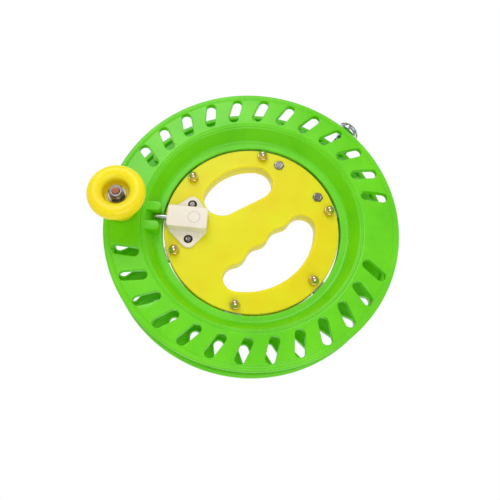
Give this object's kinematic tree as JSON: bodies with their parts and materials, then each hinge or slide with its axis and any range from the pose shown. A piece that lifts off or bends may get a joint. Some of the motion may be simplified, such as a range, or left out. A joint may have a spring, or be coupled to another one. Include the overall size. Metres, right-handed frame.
{
  "type": "kite line winder",
  "caption": "Hand-held winding wheel for kite line: a flanged wheel on ball bearings round a grip hub, with crank knob, push-button lock and line guide ring.",
  "frame": {"origin": "centre of the handle's back face, on the wheel's spin axis", "axes": "+Z along the spin axis, from the back of the hub to the crank knob's side; -X from the spin axis through the lock to the crank knob; +Y completes the right-handed frame, and the line guide stands 53 degrees from +X towards +Y"},
  "size_m": [0.2271, 0.22, 0.0728],
  "materials": {
    "wheel_green": "glossy moulded plastic, lime green",
    "hub_yellow": "glossy moulded plastic, lemon yellow",
    "knob_yellow": "glossy moulded plastic, warm yellow",
    "lock_cream": "satin moulded plastic, cream",
    "slider_white": "acetal, white",
    "nut_gold": "polished, gold tone",
    "bolt_copper": "copper-toned plating",
    "zinc_steel": "bright zinc plating",
    "dark_steel": "black oxide",
    "bearing_steel": "ground and polished",
    "guide_chrome": "polished nickel-chrome plating",
    "spring_steel": "bright drawn wire"
  },
  "bodies": {
    "hub": {"front_disc": "hub_yellow", "rear_disc": "hub_yellow", "hub_bolts": "zinc_steel", "acorn_nuts": "nut_gold", "bearing_inner_rings": "bearing_steel", "bearing_balls": "bearing_steel", "lock_housing": "lock_cream", "lock_screws": "dark_steel", "lock_spring": "spring_steel", "guide_bracket": "guide_chrome", "guide_ring": "guide_chrome", "guide_bolts": "zinc_steel", "guide_nuts": "zinc_steel"},
    "wheel": {"front_shell": "wheel_green", "rear_shell": "wheel_green", "rim_screws": "zinc_steel", "knob_bolt": "bolt_copper", "knob_base_washer": "zinc_steel", "knob_washer": "zinc_steel", "knob_nut": "zinc_steel"},
    "knob": {"knob": "knob_yellow"},
    "lock_button": {"lock_button": "lock_cream"},
    "lock_bolt": {"lock_slider": "slider_white", "lock_pin": "zinc_steel"},
    "bearing_1": {"bearing_1_outer_ring": "bearing_steel", "bearing_1_shields": "zinc_steel"},
    "bearing_2": {"bearing_2_outer_ring": "bearing_steel", "bearing_2_shields": "zinc_steel"},
    "bearing_3": {"bearing_3_outer_ring": "bearing_steel", "bearing_3_shields": "zinc_steel"},
    "bearing_4": {"bearing_4_outer_ring": "bearing_steel", "bearing_4_shields": "zinc_steel"},
    "bearing_5": {"bearing_5_outer_ring": "bearing_steel", "bearing_5_shields": "zinc_steel"},
    "bearing_6": {"bearing_6_outer_ring": "bearing_steel", "bearing_6_shields": "zinc_steel"}
  },
  "joints": [
    {"name": "wheel_spin", "type": "hinge", "parent": "hub", "child": "wheel", "pos_m": [0, 0, 0.008], "axis": [0, 0, 1], "continuous": true},
    {"name": "knob_spin", "type": "hinge", "parent": "wheel", "child": "knob", "pos_m": [-0.0968, 0, 0.0434], "axis": [0, 0, 1], "continuous": true},
    {"name": "button_press", "type": "slide", "parent": "hub", "child": "lock_button", "axis": [0, 0, -1], "range_m": [0, 0.003], "stiffness_N_per_m": 800, "springref_m": -0.003},
    {"name": "lock_slide", "type": "slide", "parent": "hub", "child": "lock_bolt", "axis": [1, 0, 0], "range_m": [0, 0.006], "deforming": ["lock_spring"]},
    {"name": "bearing_1_spin", "type": "hinge", "parent": "hub", "child": "bearing_1", "pos_m": [0.00321, 0.06122, 0.008], "axis": [0, 0, 1], "continuous": true},
    {"name": "bearing_2_spin", "type": "hinge", "parent": "hub", "child": "bearing_2", "pos_m": [0.05796, 0.01996, 0.008], "axis": [0, 0, 1], "continuous": true},
    {"name": "bearing_3_spin", "type": "hinge", "parent": "hub", "child": "bearing_3", "pos_m": [-0.04896, 0.03689, 0.008], "axis": [0, 0, 1], "continuous": true},
    {"name": "bearing_4_spin", "type": "hinge", "parent": "hub", "child": "bearing_4", "pos_m": [0.04896, -0.03689, 0.008], "axis": [0, 0, 1], "continuous": true},
    {"name": "bearing_5_spin", "type": "hinge", "parent": "hub", "child": "bearing_5", "pos_m": [-0.05643, -0.02395, 0.008], "axis": [0, 0, 1], "continuous": true},
    {"name": "bearing_6_spin", "type": "hinge", "parent": "hub", "child": "bearing_6", "pos_m": [-0.00747, -0.06084, 0.008], "axis": [0, 0, 1], "continuous": true}
  ],
  "couplings": [
    {"joint": "lock_slide", "follows": "button_press", "ratio": 2}
  ]
}
